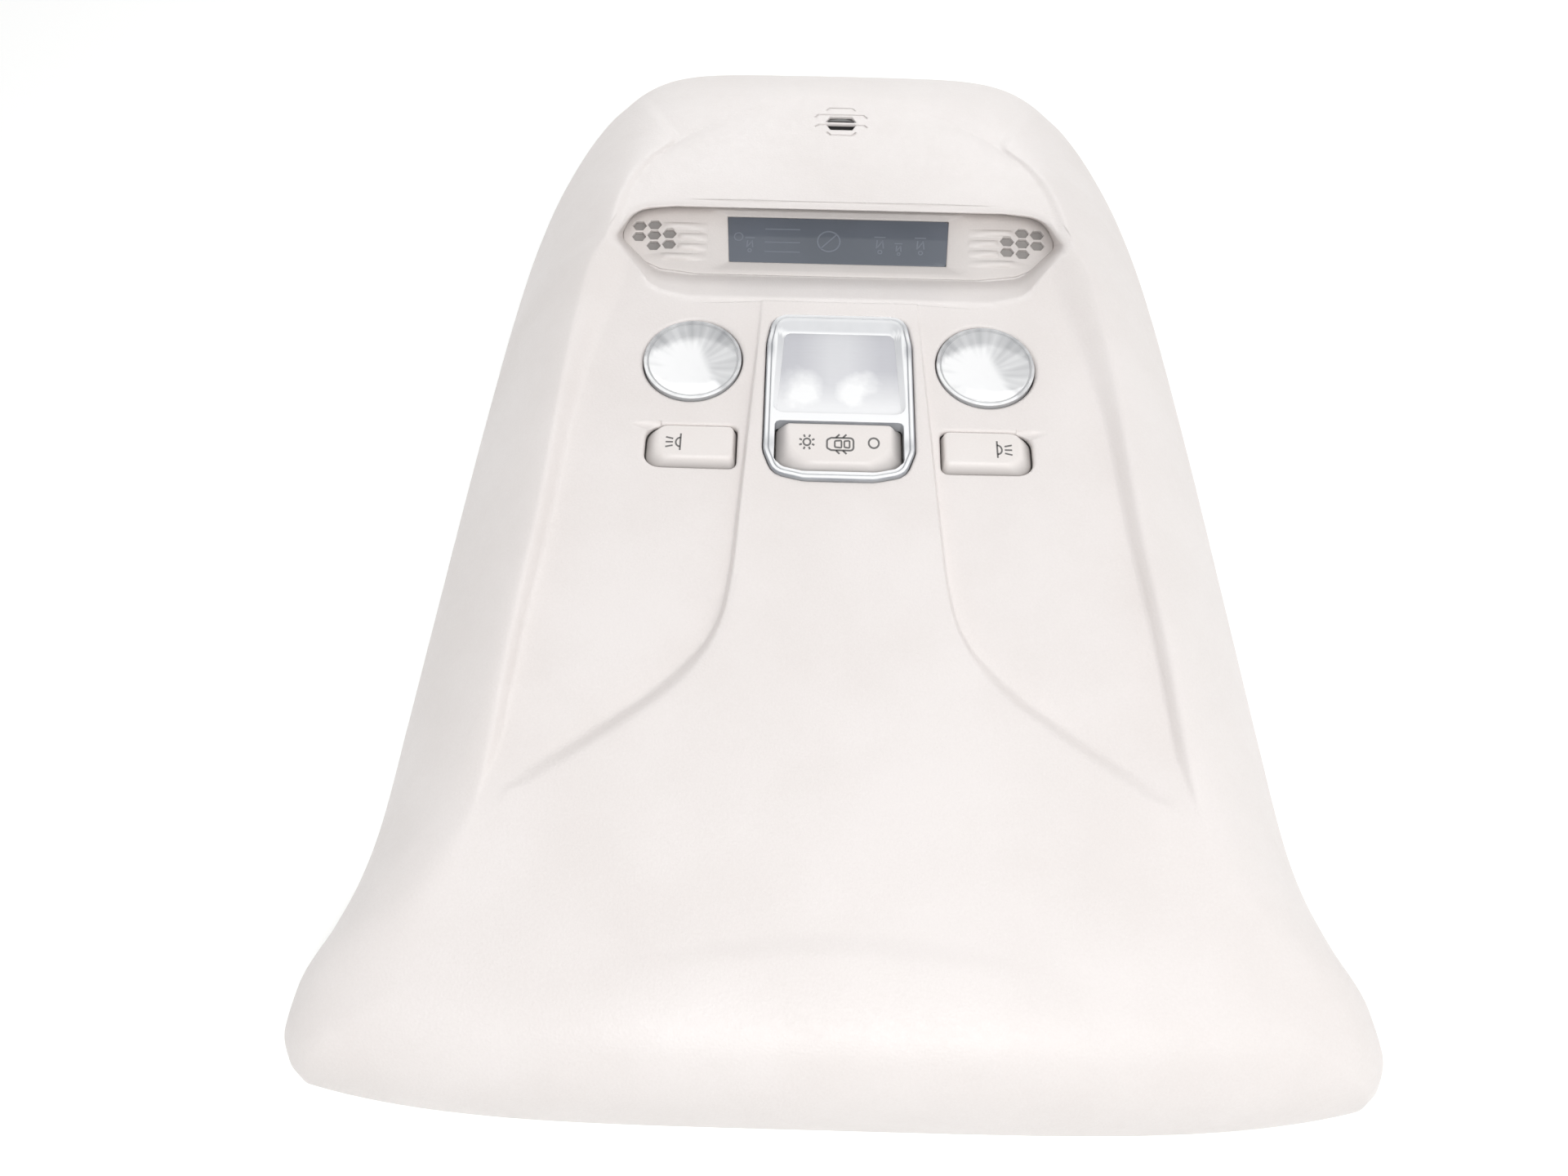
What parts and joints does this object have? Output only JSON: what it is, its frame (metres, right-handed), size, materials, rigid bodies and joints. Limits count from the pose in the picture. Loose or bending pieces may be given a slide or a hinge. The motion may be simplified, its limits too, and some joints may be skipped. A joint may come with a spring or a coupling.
{
  "type": "car dome light",
  "caption": "Car roof console with a dome lamp, round reading lamps, press keys, a rocker switch and a smoked display in a pale moulded shell.",
  "frame": {"origin": "centre of the rim's bounding rectangle, on the roof plane that the rim meets", "axes": "+Y along the console towards its narrow windscreen end, +Z out of the visible face into the cabin, +X across"},
  "size_m": [0.302, 0.42, 0.0433],
  "materials": {
    "shell_plastic": "fine grained satin",
    "bezel_plastic": "fine grained satin",
    "key_plastic": "satin",
    "smoked_window": "glossy smoked",
    "clear_lens": "clear",
    "frosted_plate": "frosted",
    "bright_metallised": "bright metallised",
    "bulb_glass": "clear",
    "spring_steel": "bright",
    "board": "satin",
    "housing_plastic": "satin",
    "black_plastic": "satin"
  },
  "bodies": {
    "base": {"console_shell": "shell_plastic", "display_bezel": "bezel_plastic", "display_window": "smoked_window", "display_housing": "black_plastic", "display_board": "board", "left_microphone": "black_plastic", "right_microphone": "black_plastic", "sensor_module": "black_plastic", "dome_lens": "clear_lens", "dome_diffuser": "frosted_plate", "dome_reflector": "bright_metallised", "dome_bulb": "bulb_glass", "bulb_contacts": "spring_steel", "dome_contact_switch": "black_plastic", "left_map_lens": "clear_lens", "right_map_lens": "clear_lens", "left_reflector": "bright_metallised", "right_reflector": "bright_metallised", "left_bulb": "bulb_glass", "right_bulb": "bulb_glass", "left_bulb_holder": "black_plastic", "right_bulb_holder": "black_plastic", "left_key_switch": "black_plastic", "right_key_switch": "black_plastic", "circuit_board": "board", "connector_socket": "black_plastic", "lamp_housing": "housing_plastic", "rear_cover": "housing_plastic", "housing_screws": "spring_steel", "roof_clips": "spring_steel"},
    "left_button": {"left_button": "key_plastic"},
    "right_button": {"right_button": "key_plastic"},
    "dome_switch": {"dome_switch": "key_plastic"}
  },
  "joints": [
    {"name": "left_key_press", "type": "slide", "parent": "base", "child": "left_button", "axis": [0, 0, -1], "range_m": [0, 0.0012], "stiffness_N_per_m": 500, "springref_m": -0.001},
    {"name": "right_key_press", "type": "slide", "parent": "base", "child": "right_button", "axis": [0, 0, -1], "range_m": [0, 0.0012], "stiffness_N_per_m": 500, "springref_m": -0.001},
    {"name": "dome_rocker", "type": "hinge", "parent": "base", "child": "dome_switch", "pos_m": [0, -0.0115, 0.03036], "axis": [0, 1, 0], "range_deg": [-6, 6]}
  ]
}
